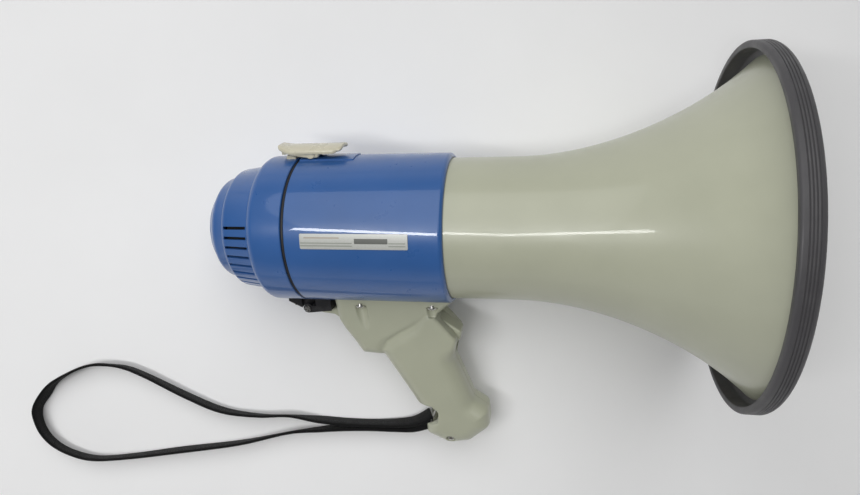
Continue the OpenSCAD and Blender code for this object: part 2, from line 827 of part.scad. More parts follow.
// Webbing that stands on its edge, swept along the route with its lean
module wrist_strap() {
    path = spline(strap_route, strap_steps);
    last = len(path) - 1;
    w = strap_w / 2;
    t = strap_t / 2;
    section = [
        [t, w - strap_edge], [t, strap_edge - w], [t - strap_edge, -w], [strap_edge - t, -w],
        [-t, strap_edge - w], [-t, w - strap_edge], [strap_edge - t, w], [t - strap_edge, w]
    ];
    color([0.12, 0.12, 0.12]) translate([mouth_x, mouth_y, 0]) loft([for (i = [0:last])
        let (step = path[min(i + 1, last)] - path[max(i - 1, 0)])
        let (left = unit([-step[1], step[0], 0]), lean = path[i][3])
        let (across = [left[0] * sin(lean), left[1] * sin(lean), cos(lean)])
        let (out = [left[0] * cos(lean), left[1] * cos(lean), -sin(lean)])
        [for (p = section) [path[i][0], path[i][1], path[i][2]] + p[0] * out + p[1] * across]]);
}

module name_plate() {
    color("gainsboro") intersection() {
        ring(seam_x + 12, seam_x + 85, body_r + 0.5, body_r);
        rotate([81, 0, 0]) translate([seam_x, -6, 0]) cube([90, 12, 60]);
    }
}

lying() horn_bell();
lying() bell_rim_guard();
lying() tone_arm();
lying() reflector_cup();
lying() reflector_stays();
lying() driver_plate();
lying() driver_spacer();
lying() diaphragm();
lying() voice_coil();
lying() top_plate();
lying() magnet();
lying() pole_yoke();
lying() driver_screws();
lying() body_housing();
lying() seam_gasket();
lying() battery_holder();
lying() battery_cells();
lying() battery_springs();
lying() battery_contacts();
lying() battery_cover();
lying() rear_cap();
lying() cap_inner_cover();
lying() contact_blades();
lying() amplifier_board();
lying() board_components();
lying() board_posts();
lying() mic_capsule();
lying() mic_boot();
lying() mic_screen();
lying() hinge_body_leaf();
lying() hinge_cap_leaf();
lying() hinge_pin();
lying() hinge_body_screws();
lying() hinge_cap_screws();
lying() latch_base();
lying() latch_lever();
lying() latch_pin();
lying() latch_spring();
lying() latch_keeper();
lying() handle_left();
lying() handle_right();
lying() handle_screws();
lying() grip_screw();
lying() trigger();
lying() trigger_pin();
lying() trigger_spring();
lying() micro_switch();
lying() volume_knob();
lying() potentiometer();
lying() strap_bar();
wrist_strap();
lying() name_plate();
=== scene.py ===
import bpy
import json
import math
import numpy as np
from mathutils import Matrix, Vector


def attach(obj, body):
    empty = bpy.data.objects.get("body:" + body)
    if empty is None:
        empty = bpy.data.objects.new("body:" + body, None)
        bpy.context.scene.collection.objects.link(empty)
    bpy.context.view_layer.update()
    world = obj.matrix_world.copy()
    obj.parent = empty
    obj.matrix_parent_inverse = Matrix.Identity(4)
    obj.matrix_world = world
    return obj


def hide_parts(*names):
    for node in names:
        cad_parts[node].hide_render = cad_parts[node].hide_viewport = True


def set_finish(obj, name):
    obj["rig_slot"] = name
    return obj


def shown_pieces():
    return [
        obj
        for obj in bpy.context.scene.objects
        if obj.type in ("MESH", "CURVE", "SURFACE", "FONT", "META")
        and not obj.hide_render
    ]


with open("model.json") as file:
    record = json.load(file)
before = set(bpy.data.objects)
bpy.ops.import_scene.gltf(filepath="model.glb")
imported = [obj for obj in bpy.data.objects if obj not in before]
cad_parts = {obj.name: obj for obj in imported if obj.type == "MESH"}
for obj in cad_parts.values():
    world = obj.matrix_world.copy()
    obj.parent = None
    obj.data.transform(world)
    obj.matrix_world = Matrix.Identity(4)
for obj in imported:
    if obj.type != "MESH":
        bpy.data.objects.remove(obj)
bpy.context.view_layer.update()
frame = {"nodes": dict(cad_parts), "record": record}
record = frame["record"]

MM = 0.001
TURN = 2 * math.pi

# ---------------------------------------------------------------- the horn's own frame
# x runs along the axis with 0 at the mouth, z towards the latch, y away from the name plate.
# Shapes are made in it in millimetres, and HORN takes them to the row frame in metres.
MOUTH_FACE_R = 0.108
mouth_face = record["mounts"][0]
pivot = [j for j in record["behaviour"]["joints"] if j["name"] == "latch_pivot"][0]
axis_x = Vector(mouth_face["axis"]).normalized()
axis_y = Vector(pivot["axis"]).normalized()
axis_z = axis_x.cross(axis_y)
mouth = Vector(mouth_face["pos_m"]) - MOUTH_FACE_R * axis_z
HORN = Matrix.Identity(4)
for column, axis in enumerate((axis_x, axis_y, axis_z)):
    for row in range(3):
        HORN[row][column] = axis[row] * MM
        HORN[row][3] = mouth[row]
horn_rot = np.array(HORN.to_3x3())
horn_pos = np.array(mouth)


def cad_points(node):
    """A CAD node's points in the horn's frame, in millimetres."""
    co = np.array([v.co for v in frame["nodes"][node].data.vertices])
    return (co - horn_pos) @ (horn_rot / MM) / MM


def span(node):
    """A CAD node's lowest and highest corner in the horn's frame."""
    points = cad_points(node)
    return points.min(0), points.max(0)


def span_radius(node):
    """The largest radius that a CAD node reaches from the horn's axis."""
    points = cad_points(node)
    return float(np.hypot(points[:, 1], points[:, 2]).max())


def linked(name, data):
    """A new object in the scene."""
    made = bpy.data.objects.new(name, data)
    bpy.context.scene.collection.objects.link(made)
    return made


body_lo, body_hi = span("body_housing")
LIP = float(body_hi[0])
SEAM = float(body_lo[0]) - 1
CAP_END = float(span("rear_cap")[0][0])
BODY_R = span_radius("body_housing")
NECK_R = 48.7
GUARD_R = span_radius("bell_rim_guard")
LATCH_X = SEAM + 10
LATCH_Z = BODY_R + 3.8
HALF_T = float(-span("handle_right")[0][1])

# ---------------------------------------------------------------- camera
CAMERA_FROM_MOUTH = Vector((-0.2054, -0.0163, 0.3957))
CAMERA_ROLL = math.radians(0.67)
camera_data = bpy.data.cameras.new("camera")
camera_data.sensor_width = 36
camera_data.lens = 26.03
camera_data.shift_y = 0.0041
camera_data.clip_start = 0.01
camera = linked("camera", camera_data)
camera.location = mouth + CAMERA_FROM_MOUTH
camera.rotation_euler = (0, 0, CAMERA_ROLL)
bpy.context.scene.camera = camera
bpy.context.scene.view_settings.view_transform = "Standard"


# ---------------------------------------------------------------- mesh helpers
def mesh_piece(name, verts, faces, body, slot, replaces=(), sharp=35, world=False):
    """A piece from points in the horn's frame in mm, or in the row frame in m."""
    points = np.asarray(verts, float)
    if not world:
        points = points @ horn_rot.T + horn_pos
    mesh = bpy.data.meshes.new(name)
    mesh.from_pydata([tuple(p) for p in points], [], [tuple(map(int, f)) for f in faces])
    mesh.validate()
    mesh.shade_smooth()
    mesh.set_sharp_from_angle(angle=math.radians(sharp))
    piece = linked(name, mesh)
    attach(piece, body)
    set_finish(piece, slot)
    if replaces:
        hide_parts(*replaces)
    return piece


def unit(v):
    return v / np.linalg.norm(v)


def rounded(corners, sides=6):
    """A closed outline whose corners (a, b, radius) are rounded."""
    out = []
    count = len(corners)
    for i, (a, b, radius) in enumerate(corners):
        p = np.array([a, b], float)
        u = unit(np.array(corners[i - 1][:2], float) - p)
        v = unit(np.array(corners[(i + 1) % count][:2], float) - p)
        half = math.acos(max(-1, min(1, float(u @ v)))) / 2
        if radius <= 0 or half > 1.55:
            out.append(p)
            continue
        centre = p + unit(u + v) * radius / math.sin(half)
        start = p + u * radius / math.tan(half) - centre
        end = p + v * radius / math.tan(half) - centre
        a0 = math.atan2(start[1], start[0])
        turn = (math.atan2(end[1], end[0]) - a0 + 3 * math.pi) % TURN - math.pi
        for k in range(sides + 1):
            t = a0 + turn * k / sides
            out.append(centre + radius * np.array([math.cos(t), math.sin(t)]))
    return out


def lathe_mesh(profile, n, wave=None):
    """A closed solid from an outline of (radius, x) points turned round the axis in n steps."""
    verts, faces, rings = [], [], []
    angles = np.arange(n) * TURN / n
    for r, x in profile:
        if r < 1e-6:
            rings.append([len(verts)])
            verts.append((x, 0, 0))
            continue
        rings.append(range(len(verts), len(verts) + n))
        for t in angles:
            q = r if wave is None else wave(r, x, t)
            verts.append((x, q * math.cos(t), q * math.sin(t)))
    for i, ring in enumerate(rings):
        nxt = rings[(i + 1) % len(rings)]
        if len(ring) == 1 and len(nxt) == 1:
            continue
        for k in range(n):
            a, b = ring[k % len(ring)], ring[(k + 1) % len(ring)]
            c, d = nxt[(k + 1) % len(nxt)], nxt[k % len(nxt)]
            face = [a, b, c, d]
            faces.append([v for j, v in enumerate(face) if v != face[j - 1]])
    return np.array(verts, float), faces


def outward(verts, faces):
    """Turns every face over if the closed mesh is inside out."""
    total = 0.0
    for f in faces:
        a = verts[f[0]]
        for i in range(1, len(f) - 1):
            total += float(a @ np.cross(verts[f[i]], verts[f[i + 1]]))
    return faces if total > 0 else [f[::-1] for f in faces]


def lathe(name, profile, body, slot, replaces=(), n=192, sharp=35):
    """A piece turned round the horn's axis."""
    verts, faces = lathe_mesh(profile, n)
    return mesh_piece(name, verts, outward(verts, faces), body, slot, replaces, sharp)


def placed(verts, origin, x, y, z):
    """Points of a small shape whose own axes are x, y and z, set at origin."""
    return np.asarray(verts) @ np.array([x, y, z], float) + np.asarray(origin, float)


def about_axis(verts, degrees):
    """Points turned round the horn's axis."""
    a = math.radians(degrees)
    return placed(verts, (0, 0, 0), (1, 0, 0), (0, math.cos(a), math.sin(a)),
                  (0, -math.sin(a), math.cos(a)))


def joined(parts):
    """One mesh from several (verts, faces)."""
    verts, faces, base = [], [], 0
    for v, f in parts:
        verts.append(np.asarray(v, float))
        faces += [[i + base for i in face] for face in f]
        base += len(v)
    return np.concatenate(verts), faces


def cut_away(piece, cutters):
    """Takes the cutters' meshes, in the horn's frame, out of a piece."""
    verts, faces = joined(cutters)
    mesh = bpy.data.meshes.new("cutter")
    mesh.from_pydata([tuple(p) for p in verts @ horn_rot.T + horn_pos], [], faces)
    tool = linked("cutter", mesh)
    cut = piece.modifiers.new("cut", "BOOLEAN")
    cut.object = tool
    cut.operation = "DIFFERENCE"
    cut.solver = "EXACT"
    bpy.context.view_layer.update()
    graph = bpy.context.evaluated_depsgraph_get()
    made = bpy.data.meshes.new_from_object(piece.evaluated_get(graph))
    piece.modifiers.clear()
    piece.data = made
    bpy.data.objects.remove(tool)


def tube_mesh(r, x0, x1, n=24):
    """A cylinder along its own x from x0 to x1."""
    return lathe_mesh([(0, x0), (r, x0), (r, x1), (0, x1)], n)


def prism_mesh(outline, y0, y1, bevel=0.5):
    """An outline in x and z, as thick as y0 to y1, with chamfered edges."""
    ring = np.array(outline, float)
    step = np.roll(ring, -1, 0) - np.roll(ring, 1, 0)
    step /= np.linalg.norm(step, axis=1)[:, None]
    inner = ring + bevel * np.stack([-step[:, 1], step[:, 0]], 1)
    n = len(ring)
    verts, faces = [], []
    for y, flat in ((y0, inner), (y0 + bevel, ring), (y1 - bevel, ring), (y1, inner)):
        verts += [(a, y, b) for a, b in flat]
    for level in range(3):
        for k in range(n):
            a, b = level * n + k, level * n + (k + 1) % n
            faces.append([a, b, b + n, a + n])
    faces.append(list(range(n - 1, -1, -1)))
    faces.append(list(range(3 * n, 4 * n)))
    verts = np.array(verts)
    return verts, outward(verts, faces)


def arc(centre, radius, start, end, n):
    """The n + 1 points of an arc, whose angles are in degrees."""
    angles = np.radians(np.linspace(start, end, n + 1))
    return [(centre[0] + radius * math.cos(t), centre[1] + radius * math.sin(t)) for t in angles]


def mirrored(verts, faces):
    """A mesh on the other side of the plane y = 0."""
    return np.asarray(verts) * [1, -1, 1], [list(f)[::-1] for f in faces]


# ---------------------------------------------------------------- implicit shapes
# Each works on an array of points and is negative inside.
def smooth_min(a, b, k):
    h = np.clip(0.5 + 0.5 * (b - a) / k, 0, 1)
    return b + (a - b) * h - k * h * (1 - h)


def smooth_max(a, b, k):
    return -smooth_min(-a, -b, k)


def ramp(v, start, end):
    """Rises smoothly from 0 at start to 1 at end."""
    t = np.clip((v - start) / (end - start), 0, 1)
    return t * t * (3 - 2 * t)


def outline_distance(points, outline):
    """Signed distance of 2-D points to a closed counter-clockwise outline."""
    best = np.full(len(points), 1e9)
    inside = np.zeros(len(points), bool)
    count = len(outline)
    for i in range(count):
        a, b = outline[i], outline[(i + 1) % count]
        e, w = b - a, points - a
        t = np.clip(w @ e / max(e @ e, 1e-12), 0, 1)
        best = np.minimum(best, np.hypot(*(w - t[:, None] * e).T))
        above = (a[1] <= points[:, 1]) != (b[1] <= points[:, 1])
        side = a[0] + (points[:, 1] - a[1]) / (e[1] if abs(e[1]) > 1e-12 else 1e-12) * e[0]
        inside ^= above & (points[:, 0] < side)
    return np.where(inside, -best, best)


def pillow(flat, y, half, edge):
    """A slab of a flat distance, half thick, whose edges are rounded by edge."""
    a, b = flat + edge, np.abs(y) - half + edge
    return np.hypot(np.maximum(a, 0), np.maximum(b, 0)) + np.minimum(np.maximum(a, b), 0) - edge


def surface_net(f, lo, hi, step, fit=3):
    """The surface f = 0 as quads, by surface nets with the points drawn onto it."""
    axes = [np.arange(a, b + step, step) for a, b in zip(lo, hi)]
    grid = np.stack(np.meshgrid(*axes, indexing="ij"), -1)
    values = f(grid.reshape(-1, 3)).reshape(grid.shape[:3])
    size = [s - 1 for s in values.shape]
    total, count = np.zeros((*size, 3)), np.zeros(size)
    for axis in range(3):
        side = [a for a in range(3) if a != axis]
        for o in ((0, 0), (0, 1), (1, 0), (1, 1)):
            near = [0, 0, 0]
            near[side[0]], near[side[1]] = o
            far = list(near)
            far[axis] = 1
            a, b = [values[tuple(slice(c, c + s) for c, s in zip(k, size))] for k in (near, far)]
            cross = (a < 0) != (b < 0)
            t = np.where(cross, a / np.where(cross, a - b, 1), 0)
            place = np.zeros((*size, 3)) + near
            place[..., axis] += t
            total += place * cross[..., None]
            count += cross
    active = count > 0
    index = np.full(size, -1)
    index[active] = np.arange(active.sum())
    verts = np.array(lo) + step * (np.argwhere(active) + total[active] / count[active][:, None])
    faces = []
    for axis in range(3):
        u, v = (axis + 1) % 3, (axis + 2) % 3
        low, high = [slice(None)] * 3, [slice(None)] * 3
        low[axis], high[axis] = slice(None, -1), slice(1, None)
        for s in (low, high):
            s[u] = s[v] = slice(1, -1)
        a, b = values[tuple(low)] < 0, values[tuple(high)] < 0
        where = np.argwhere(a != b)
        solid_low = a[a != b]
        where[:, u] += 1
        where[:, v] += 1
        ring = []
        for du, dv in ((1, 1), (0, 1), (0, 0), (1, 0)):
            cell = where.copy()
            cell[:, u] -= du
            cell[:, v] -= dv
            ring.append(index[tuple(cell.T)])
        quads = np.stack(ring, 1)
        quads[~solid_low] = quads[~solid_low][:, ::-1]
        faces.append(quads)
    delta = 0.02
    for _ in range(fit):
        value = f(verts)
        slope = np.stack([
            (f(verts + delta * e) - f(verts - delta * e)) / (2 * delta) for e in np.eye(3)
        ], 1)
        move = (value / np.maximum((slope ** 2).sum(1), 0.2))[:, None] * slope
        size_of = np.linalg.norm(move, axis=1)
        move *= np.minimum(1, 0.4 * step / np.maximum(size_of, 1e-9))[:, None]
        verts = verts - move
    return verts, np.concatenate(faces)


# ---------------------------------------------------------------- strap
# The route of part.scad: x and y from below the mouth's centre, z from the table, and the lean.
STRAP_ROUTE = [
    (-203, -145, 16, 20), (-216, -152.5, 12.8, 15), (-232, -155, 10, 9), (-252, -155.7, 8.3, 5),
    (-272, -155.2, 7.7, 5), (-293, -153.5, 7.7, 3), (-317, -151, 7.7, -13),
    (-342, -151, 7.7, -9), (-371.5, -147, 7.7, -3), (-400.5, -135.5, 7.7, -4),
    (-431, -121, 7.7, -8), (-450, -113.5, 7.7, -9), (-466, -111.5, 7.7, -10),
    (-479, -112, 7.7, -4), (-493.5, -117, 7.7, 4), (-508, -126, 7.7, 2), (-516, -137, 7.7, -6),
    (-521, -146.5, 7.7, 2), (-520.5, -155.5, 7.7, 10), (-515.5, -166.5, 7.7, 13),
    (-506, -176, 7.7, 13), (-492, -183, 7.7, 11), (-473, -187, 7.7, 7), (-445, -185, 7.7, 4),
    (-405, -179.5, 7.7, 0), (-356.5, -173, 7.7, 4), (-317, -164.5, 7.7, 12),
    (-293, -161.5, 7.7, 3), (-272, -159.5, 7.7, -4), (-252, -159, 8.3, -4),
    (-232, -158.7, 9.6, -8), (-216, -157.2, 12.2, -14), (-203, -152.5, 14.5, -20),
]
STRAP_STEPS = 6
STRAP_W = 0.015
STRAP_T = 0.002
STRAP_EDGE = 0.0008


def curve_through(points, steps):
    """A smooth curve through every point of a route."""
    points = np.array(points, float)
    last = len(points) - 1
    out = []
    for i in range(last):
        a, b = points[max(i - 1, 0)], points[i]
        c, d = points[i + 1], points[min(i + 2, last)]
        for k in range(steps):
            t = k / steps
            out.append(b + (c - a) * t / 2 + (2 * a - 5 * b + 4 * c - d) * t ** 2 / 2
                       + (3 * b - a - 3 * c + d) * t ** 3 / 2)
    return np.array(out + [points[last]])


def build_strap():
    """The webbing along its route, with a UV layer of metres across and along it."""
    route = curve_through(STRAP_ROUTE, STRAP_STEPS)
    centre = route[:, :3] * MM + np.array([mouth.x, mouth.y, 0])
    lean = np.radians(route[:, 3])
    step = np.gradient(centre, axis=0)
    left = np.stack([-step[:, 1], step[:, 0], 0 * step[:, 0]], 1)
    left /= np.linalg.norm(left, axis=1)[:, None]
    up = np.array([0, 0, 1.0])
    across = left * np.sin(lean)[:, None] + up * np.cos(lean)[:, None]
    out = left * np.cos(lean)[:, None] - up * np.sin(lean)[:, None]
    half_w, half_t, edge = STRAP_W / 2, STRAP_T / 2, STRAP_EDGE
    section = [(half_t, half_w - edge), (half_t, 0.25 * half_w), (half_t, -0.25 * half_w),
               (half_t, edge - half_w), (half_t - edge, -half_w), (edge - half_t, -half_w),
               (-half_t, edge - half_w), (-half_t, -0.25 * half_w), (-half_t, 0.25 * half_w),
               (-half_t, half_w - edge), (edge - half_t, half_w), (half_t - edge, half_w)]
    along = np.concatenate([[0], np.cumsum(np.linalg.norm(np.diff(centre, axis=0), axis=1))])
    n = len(section)
    verts, faces, uv = [], [], []
    for i, c in enumerate(centre):
        verts += [c + p * out[i] + q * across[i] for p, q in section]
    for i in range(len(centre) - 1):
        for k in range(n):
            a, b = i * n + k, i * n + (k + 1) % n
            faces.append([a, b, b + n, a + n])
            q0, q1 = section[k][1], section[(k + 1) % n][1]
            uv += [(q0, along[i]), (q1, along[i]), (q1, along[i + 1]), (q0, along[i + 1])]
    faces.append(list(range(n - 1, -1, -1)))
    faces.append(list(range(len(verts) - n, len(verts))))
    uv += [(section[k][1], 0) for k in range(n - 1, -1, -1)]
    uv += [(section[k][1], along[-1]) for k in range(n)]
    piece = mesh_piece("strap_webbing", verts, faces, "megaphone", "black_webbing",
                       ["wrist_strap"], 50, world=True)
    layer = piece.data.uv_layers.new(name="weave")
    flat = np.array([uv[i] for i in range(len(piece.data.loops))], np.float32)
    layer.data.foreach_set("uv", flat.ravel())


build_strap()

# ---------------------------------------------------------------- bell and guard
FLARE_START = -150
FLARE_LENGTH = 140
BELL_EDGE = -2.5
BELL_WALL = 2.2
GUARD_GROOVES = (-8.6, -7.0, -5.4, -3.8)


def bell_r(x):
    """The bell's outer radius, which turns out more steeply close to the mouth."""
    t = max(0.0, (x - FLARE_START) / FLARE_LENGTH)
    return NECK_R + 47.5 * t ** 2 + 3.2 * t ** 8


flange_x = LIP - 12
outer = [(bell_r(x), x) for x in np.linspace(FLARE_START, BELL_EDGE, 60)]
inner = [(r - BELL_WALL, x) for r, x in outer[::-1]]
lathe("bell_shell",
      [(30.2, flange_x), (NECK_R, flange_x), (NECK_R, LIP - 1), (NECK_R, -170)] + outer + inner
      + [(NECK_R - BELL_WALL, flange_x + 4.5), (NECK_R - BELL_WALL - 1.5, flange_x + 3),
         (30.2, flange_x + 3)],
      "megaphone", "grey_plastic", ["horn_bell"], n=256)


def guard_profile():
    """The rubber guard's section: a grooved outside, a rolled front lip and a skirt behind."""
    rim = bell_r(BELL_EDGE) - 3
    skirt = GUARD_R - 4.5
    out = arc((GUARD_R - 1.5, -11), 1.5, -90, 0, 5)
    for x in GUARD_GROOVES:
        out += [(GUARD_R, x - 0.38), (GUARD_R - 0.3, x - 0.26), (GUARD_R - 0.5, x),
                (GUARD_R - 0.3, x + 0.26), (GUARD_R, x + 0.38)]
    out += arc((GUARD_R - 4, -4), 4, 12, 90, 8)
    out += [(110, -0.35), (109, -0.6), (108, -0.35), (105, 0)]
    out += arc((rim + 1.5, -1.5), 1.5, 90, 180, 4)
    out += [(rim, BELL_EDGE), (skirt - 1, BELL_EDGE), (skirt, BELL_EDGE - 1)]
    return out + arc((skirt + 0.8, -11.7), 0.8, 180, 270, 3)


lathe("rim_guard_rubber", guard_profile(), "megaphone", "guard_rubber", ["bell_rim_guard"],
      n=288, sharp=50)
lathe("tone_tube", [(10, flange_x), (30, flange_x), (30, flange_x + 3), (15.5, flange_x + 5.5),
                    (14, flange_x + 9), (14.6, -160), (16, -140), (18.6, -112), (21.6, -86),
                    (21.8, -84.6), (21, -84), (20.2, -84.6), (17, -112), (14, -140), (12.6, -160),
                    (10, flange_x + 6)],
      "megaphone", "grey_plastic", ["tone_arm"], n=96)
cup = [(42 * i / 12, -40 - 12 * (i / 12) ** 2) for i in range(12)]
cup_face = [(43 * i / 12, -38 - 12 * (i / 12) ** 2) for i in range(11, -1, -1)]
lathe("reflector_dome", cup + [(40, -56), (33, -128), (34, -128.6), (35, -128), (42, -56),
                               (42.4, -53), (41.8, -50.6)] + cup_face,
      "megaphone", "grey_plastic", ["reflector_cup"], n=128)
stay_outline = rounded([(-124, 18, 0.5), (-90, 21.5, 0.5), (-90, 36, 0.5), (-124, 31.5, 0.5)], 2)
stays = []
for turn in (30, 150, 270):
    verts, faces = prism_mesh(stay_outline, -1, 1, 0.4)
    stays.append((about_axis(verts, turn), faces))
mesh_piece("reflector_fins", *joined(stays), "megaphone", "grey_plastic", ["reflector_stays"])

# ---------------------------------------------------------------- body
bore = BODY_R - 2.5
back = SEAM + 1
body_profile = (
    [(bore, back + 0.3), (bore + 0.3, back), (BODY_R - 0.5, back), (BODY_R, back + 0.5)]
    + arc((BODY_R - 3, LIP - 3), 3, 0, 90, 8)
    + [(NECK_R + 0.9, LIP), (NECK_R + 0.2, LIP - 0.7), (NECK_R + 0.2, LIP - 4), (bore, LIP - 5),
       (bore, LIP - 15), (34, LIP - 15), (34, LIP - 18), (bore, LIP - 18)]
)
lathe("body_tube", body_profile, "megaphone", "blue_plastic", ["body_housing"], n=256)
lathe("seam_ring", [(bore - 1, SEAM - 0.9), (bore - 1, SEAM + 0.9), (BODY_R - 0.9, SEAM + 0.9),
                    (BODY_R - 0.6, SEAM + 0.5), (BODY_R - 0.6, SEAM - 0.5),
                    (BODY_R - 0.9, SEAM - 0.9)],
      "megaphone", "gasket_rubber", ["seam_gasket"])

# ---------------------------------------------------------------- cap
SHOULDER_X, SHOULDER_R = SEAM - 21, 6.2
TIER_X = SHOULDER_X - 7
TIER_END = TIER_X - 17
CAP_WALL = 2.5
CAP_SHARP = 28
SLOT_COUNT, SLOT_PITCH = 25, 9
SOUND_HOLE_R = 1.1
SOUND_HOLE_RINGS = ((1, 0), (6, 5), (12, 10))


def cap_outline(d):
    """The cap's stepped outline from its open edge to its end, set in by d."""
    front = SEAM - 1.3
    lead = [(BODY_R - d, front - 0.5), (BODY_R - d, front - 10)]
    if d == 0:
        lead = [(BODY_R - 0.5, front)] + lead
    return (
        lead
        + arc((BODY_R - SHOULDER_R, SHOULDER_X), SHOULDER_R - d, 0, -85, 10)
        + [(BODY_R - 6.6 - d + 0.2, TIER_X + 0.3), (BODY_R - 6.8 - d, TIER_X - 0.6)]
        + arc((BODY_R - 13.8, TIER_END), 4.8 - d, -10, -80, 7)
        + arc((BODY_R - 21.7, CAP_END + 12), 6.5 - d, -5, -65, 7)
        + arc((BODY_R - 29.2, CAP_END + 8), 8 - d, -35, -90, 7)
        + [(0, CAP_END + d)]
    )


cap_inside = [(BODY_R - 2.8, SEAM - 1.3)] + cap_outline(CAP_WALL)
cap = lathe("cap_shell", cap_outline(0) + cap_inside[::-1], "cap", "blue_plastic", ["rear_cap"],
            n=256, sharp=CAP_SHARP)


def cap_cutters():
    """The slots round the cap's lower tier and the sound holes in its end."""
    out = []
    shape = rounded([(TIER_X - 18.5, 36, 1), (TIER_X - 1.2, 36, 1), (TIER_X - 1.2, 50, 1),
                     (TIER_X - 18.5, 50, 1)], 4)
    for i in range(SLOT_COUNT):
        verts, faces = prism_mesh(shape, -1, 1, 0.02)
        out.append((about_axis(verts, 180 + SLOT_PITCH * (i - SLOT_COUNT // 2)), faces))
    for count, ring in SOUND_HOLE_RINGS:
        for i in range(count):
            a = TURN * i / count
            verts, faces = tube_mesh(SOUND_HOLE_R, CAP_END - 2, CAP_END + 5, 20)
            faces = outward(verts, faces)
            shift = np.array([0, -ring * math.sin(a), ring * math.cos(a)])
            out.append((verts + shift, faces))
    return out


cut_away(cap, cap_cutters())
cap.data.shade_smooth()
cap.data.set_sharp_from_angle(angle=math.radians(CAP_SHARP))
lathe("mic_boot_ring", [(14, CAP_END + 8), (17, CAP_END + 8), (17.5, CAP_END + 8.5),
                        (17.5, CAP_END + 22.5), (17, CAP_END + 23), (14, CAP_END + 23)],
      "cap", "gasket_rubber", ["mic_boot"], n=64)

# ---------------------------------------------------------------- handle
SEAT_R = BODY_R + 4.6
POCKET_ANGLE = math.radians(16)
POCKET_X = (-262, -208.8)
GRIP_SCREW = (-201, -167.5)
bracket_outline = rounded([
    (-285, -34, 1), (-281, -68, 5), (-269, -92, 4), (-265.5, -97.3, 4), (-249, -98.3, 4),
    (-242.5, -86, 6), (-232, -77.2, 6), (-219, -69.3, 6), (-205, -61, 1.5), (-193, -50.5, 2),
    (-192.5, -34, 1)])
grip_outline = rounded([
    (-247, -82.5, 3), (-252.5, -92, 3), (-249, -98.5, 5), (-229, -134, 20),
    (-221.5, -150, 8), (-221, -166, 5), (-203, -175, 12), (-186, -171.5, 10), (-171, -158, 6),
    (-172, -143.5, 5), (-183, -136, 6), (-196, -101, 8), (-192.5, -81, 3), (-206.5, -64, 2),
    (-208, -58, 2), (-216.5, -62.6, 6), (-228.5, -69.5, 6), (-240, -76.6, 5)])
boss_outline = rounded([(-296, -62.2, 0.8), (-296, -65.2, 1), (-286, -66.5, 2), (-276, -73, 1),
                        (-276, -60, 1)])
slot_outline = [np.array(p, float) for p in
                ((-240, -149), (-240, -168), (-219, -168), (-211, -163), (-211, -155),
                 (-219, -149))]
mouth_outline = rounded([(-228, -137, 1), (-228, -160, 1), (-217, -157, 2), (-210, -153, 2.5),
                         (-209, -143, 3), (-214, -138, 2)])
TRIGGER_EDGE = (np.array([-206.5, -64.0]), np.array([-192.5, -81.0]))
STRAP_SLOT_HALF = 9.2
HANDLE_STEP, HANDLE_QUICK_STEP = 0.85, 1.6


def handle_shape(points):
    """The +y half of the bracket and grip, negative inside."""
    flat = points[:, [0, 2]]
    y = points[:, 1]
    a, b = TRIGGER_EDGE
    e, w = b - a, flat - a
    t = np.clip(w @ e / (e @ e), 0, 1)
    from_edge = np.hypot(*(w - t[:, None] * e).T)
    edge = 3 + 9.5 * ramp(from_edge, 3, 20)
    wall = 6.5 + 4 * ramp(-flat[:, 1], 72, 90)
    panel = pillow(outline_distance(flat, bracket_outline), y, HALF_T - 1.2, wall)
    grip = pillow(outline_distance(flat, grip_outline), y, HALF_T, edge)
    shape = smooth_min(panel, grip, 2.2)
    boss = pillow(outline_distance(flat, boss_outline), y, 8, 1.2)
    shape = smooth_min(shape, boss, 2)
    bore_cut = np.hypot(points[:, 1], points[:, 2]) - BODY_R - 0.02
    shape = smooth_max(shape, -bore_cut, 0.4)
    u = np.array([0, math.sin(POCKET_ANGLE), -math.cos(POCKET_ANGLE)])
    for x, reach in zip(POCKET_X, (30, 8)):
        w = points - [x, 0, 0]
        along = w @ u
        beyond = np.maximum(along - SEAT_R, 0)
        w[:, 0] -= 0.16 * beyond
        off = np.linalg.norm(w - (w @ u)[:, None] * u, axis=1)
        pocket = np.maximum(off - 4.2 - 0.06 * beyond, np.maximum(SEAT_R - along, beyond - reach))
        shape = smooth_max(shape, -pocket, 0.5)
    inner_slot = np.maximum(np.maximum(flat[:, 1] + 66, -96 - flat[:, 1]),
                            np.maximum(-224 - flat[:, 0], y - 7.4))
    shape = smooth_max(shape, -inner_slot, 0.6)
    strap_slot = np.maximum(outline_distance(flat, slot_outline), y - STRAP_SLOT_HALF)
    shape = smooth_max(shape, -strap_slot, 1.2)
    shape = smooth_max(shape, -outline_distance(flat, mouth_outline), 0.8)
    hole = np.hypot(flat[:, 0] - GRIP_SCREW[0], flat[:, 1] - GRIP_SCREW[1])
    shape = smooth_max(shape, -np.maximum(hole - 3.4, 12 - y), 0.6)
    return smooth_max(shape, 0.06 - y, 0.35)


def build_handle():
    """One half of the handle and its mirror image."""
    step = HANDLE_STEP
    verts, faces = surface_net(handle_shape, (-299, -1.3, -178), (-167, 19, -46), step)
    mesh_piece("handle_shell_left", verts, faces, "megaphone", "grey_plastic", ["handle_left"], 55)
    mesh_piece("handle_shell_right", *mirrored(verts, faces), "megaphone", "grey_plastic",
               ["handle_right"], 55)


build_handle()

trigger_outline = rounded([
    (-213.5, -67.4, 1.5), (-206, -67.2, 2), (-190, -78, 2.5), (-191, -84, 2.5), (-195, -89, 2.5),
    (-206, -90, 2), (-214, -79, 2)])


